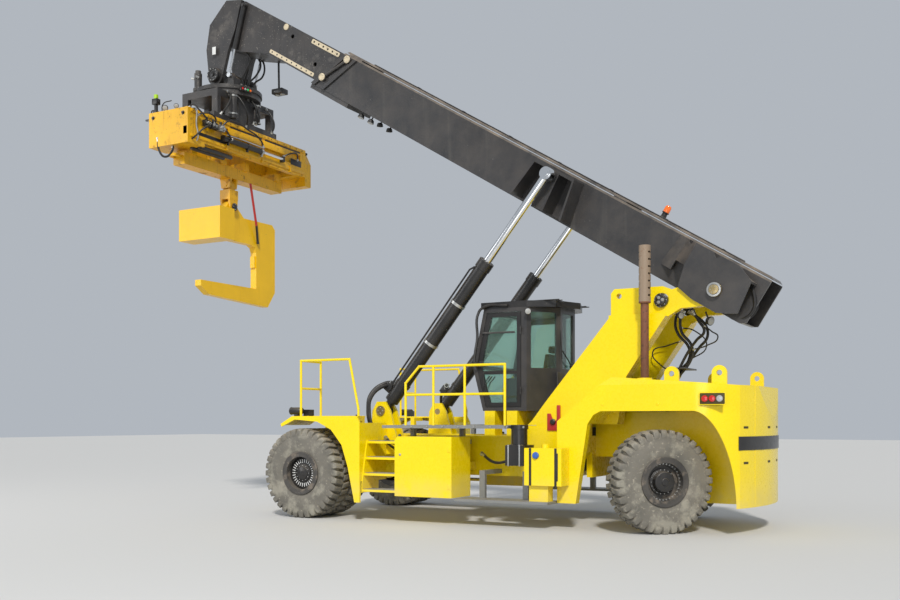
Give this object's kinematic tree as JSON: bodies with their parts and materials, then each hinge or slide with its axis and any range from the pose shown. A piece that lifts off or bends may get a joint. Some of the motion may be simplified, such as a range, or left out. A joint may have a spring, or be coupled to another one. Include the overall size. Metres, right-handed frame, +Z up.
{
  "type": "reach stacker",
  "caption": "Reach stacker with a telescopic boom, rotating spreader and hanging coil hook, rear-set cab and twin drive tyres.",
  "frame": {"origin": "middle of the machine's overall box, on the ground", "axes": "+X forward, toward the spreader; +Y the machine's left; +Z up"},
  "size_m": [12.1327, 4.275, 10.5656],
  "materials": {
    "yellow": "gloss",
    "worn_yellow": "satin",
    "charcoal": "satin",
    "black": "satin",
    "grey_tread": "satin",
    "rod_chrome": "gloss",
    "pin_gold": "satin",
    "engine_iron": "matte",
    "rust": "matte",
    "tyre": "matte",
    "rim": "satin",
    "glass": "gloss",
    "trim": "matte"
  },
  "bodies": {
    "chassis": {"main_frame": "yellow", "tower_left": "yellow", "tower_right": "yellow", "rear_body": "yellow", "engine_block": "engine_iron", "engine_hood": "charcoal", "drive_axle": "yellow", "steer_axle": "yellow", "front_fenders": "yellow", "walkways": "grey_tread", "handrails": "yellow", "boarding_steps": "grey_tread", "side_boxes": "yellow", "side_tank": "yellow", "air_cleaner": "black", "exhaust_stack": "rust", "frame_pins": "pin_gold", "chassis_lamps": "black", "cab_shell": "charcoal", "cab_roof": "black", "cab_glass": "glass", "cab_seat": "trim", "cab_console": "trim"},
    "cab_door": {"cab_door": "charcoal", "door_glass": "glass"},
    "drive_wheels_left": {"drive_rim_left": "rim", "drive_tyres_left": "tyre"},
    "drive_wheels_right": {"drive_rim_right": "rim", "drive_tyres_right": "tyre"},
    "knuckle_left": {"knuckle_left": "yellow"},
    "knuckle_right": {"knuckle_right": "yellow"},
    "steer_wheel_left": {"steer_rim_left": "rim", "steer_tyre_left": "tyre"},
    "steer_wheel_right": {"steer_rim_right": "rim", "steer_tyre_right": "tyre"},
    "outer_boom": {"boom_outer": "charcoal"},
    "inner_boom": {"boom_inner": "charcoal", "boom_head": "charcoal"},
    "lift_barrels": {"lift_barrels": "black"},
    "lift_rods": {"lift_rods": "rod_chrome"},
    "damper_barrels": {"damper_barrels": "black"},
    "damper_rods": {"damper_rods": "rod_chrome"},
    "yoke": {"head_yoke": "charcoal"},
    "slew_frame": {"slew_frame": "charcoal"},
    "spreader": {"spreader_frame": "worn_yellow", "spreader_gear": "black"},
    "link": {"hook_link": "worn_yellow"},
    "hook": {"coil_hook": "yellow"}
  },
  "joints": [
    {"name": "boom_lift", "type": "hinge", "parent": "chassis", "child": "outer_boom", "pos_m": [-5.2677, 0, 3.81], "axis": [0, -1, 0], "range_deg": [-18, 24]},
    {"name": "boom_extend", "type": "slide", "parent": "outer_boom", "child": "inner_boom", "axis": [0.8517, 0, 0.524], "range_m": [-1.5, 5]},
    {"name": "head_tilt", "type": "hinge", "parent": "inner_boom", "child": "yoke", "pos_m": [5.36955, 0, 9.0391], "axis": [0, 1, 0], "range_deg": [-18, 24]},
    {"name": "slew", "type": "hinge", "parent": "yoke", "child": "slew_frame", "pos_m": [5.36955, 0, 8.6891], "axis": [0, 0, 1], "range_deg": [-105, 195]},
    {"name": "side_shift", "type": "slide", "parent": "slew_frame", "child": "spreader", "axis": [0, 1, 0], "range_m": [-0.58, 1.02]},
    {"name": "link_swing", "type": "hinge", "parent": "spreader", "child": "link", "pos_m": [5.36955, 0, 6.8091], "axis": [0, 1, 0], "range_deg": [-8, 8]},
    {"name": "hook_swing", "type": "hinge", "parent": "link", "child": "hook", "pos_m": [5.36955, 0, 6.3291], "axis": [1, 0, 0], "range_deg": [-8, 8]},
    {"name": "lift_barrels_turn", "type": "hinge", "parent": "chassis", "child": "lift_barrels", "pos_m": [0.7323, 0, 1.94], "axis": [0, -1, 0], "range_deg": [-1, 1]},
    {"name": "lift_rods_slide", "type": "slide", "parent": "lift_barrels", "child": "lift_rods", "axis": [-0.6311, 0, 0.7757], "range_m": [-1.077, 1.433]},
    {"name": "damper_barrels_turn", "type": "hinge", "parent": "inner_boom", "child": "damper_barrels", "pos_m": [4.59877, 0, 10.36831], "axis": [0, -1, 0], "range_deg": [-1, 1]},
    {"name": "damper_rods_slide", "type": "slide", "parent": "damper_barrels", "child": "damper_rods", "axis": [0.2809, 0, -0.9597], "range_m": [-0.158, 0.121]},
    {"name": "steer_left", "type": "hinge", "parent": "chassis", "child": "knuckle_left", "pos_m": [-4.2877, 1.05, 0.81], "axis": [0, 0, 1], "range_deg": [-94, 10]},
    {"name": "steer_right", "type": "hinge", "parent": "chassis", "child": "knuckle_right", "pos_m": [-4.2877, -1.05, 0.81], "axis": [0, 0, 1], "range_deg": [-94, 10]},
    {"name": "steer_wheel_left_spin", "type": "hinge", "parent": "knuckle_left", "child": "steer_wheel_left", "pos_m": [-4.2877, 1.05, 0.81], "axis": [-0.6691, 0.7431, 0], "continuous": true},
    {"name": "steer_wheel_right_spin", "type": "hinge", "parent": "knuckle_right", "child": "steer_wheel_right", "pos_m": [-4.2877, -1.05, 0.81], "axis": [-0.6691, 0.7431, 0], "continuous": true},
    {"name": "drive_wheels_left_spin", "type": "hinge", "parent": "chassis", "child": "drive_wheels_left", "pos_m": [1.9123, 0, 0.81], "axis": [0, 1, 0], "continuous": true},
    {"name": "drive_wheels_right_spin", "type": "hinge", "parent": "chassis", "child": "drive_wheels_right", "pos_m": [1.9123, 0, 0.81], "axis": [0, 1, 0], "continuous": true},
    {"name": "cab_door_hinge", "type": "hinge", "parent": "chassis", "child": "cab_door", "pos_m": [-1.9317, 0.88, 2.8], "axis": [0, 0, 1], "range_deg": [0, 90]}
  ],
  "couplings": [
    {"joint": "lift_barrels_turn", "follows": "boom_lift", "ratio": 0.001},
    {"joint": "lift_rods_slide", "follows": "boom_lift", "m_per_rad": 3.3976},
    {"joint": "damper_barrels_turn", "follows": "head_tilt", "ratio": 0.001},
    {"joint": "damper_rods_slide", "follows": "head_tilt", "m_per_rad": -0.3525},
    {"joint": "steer_right", "follows": "steer_left", "ratio": 1}
  ]
}
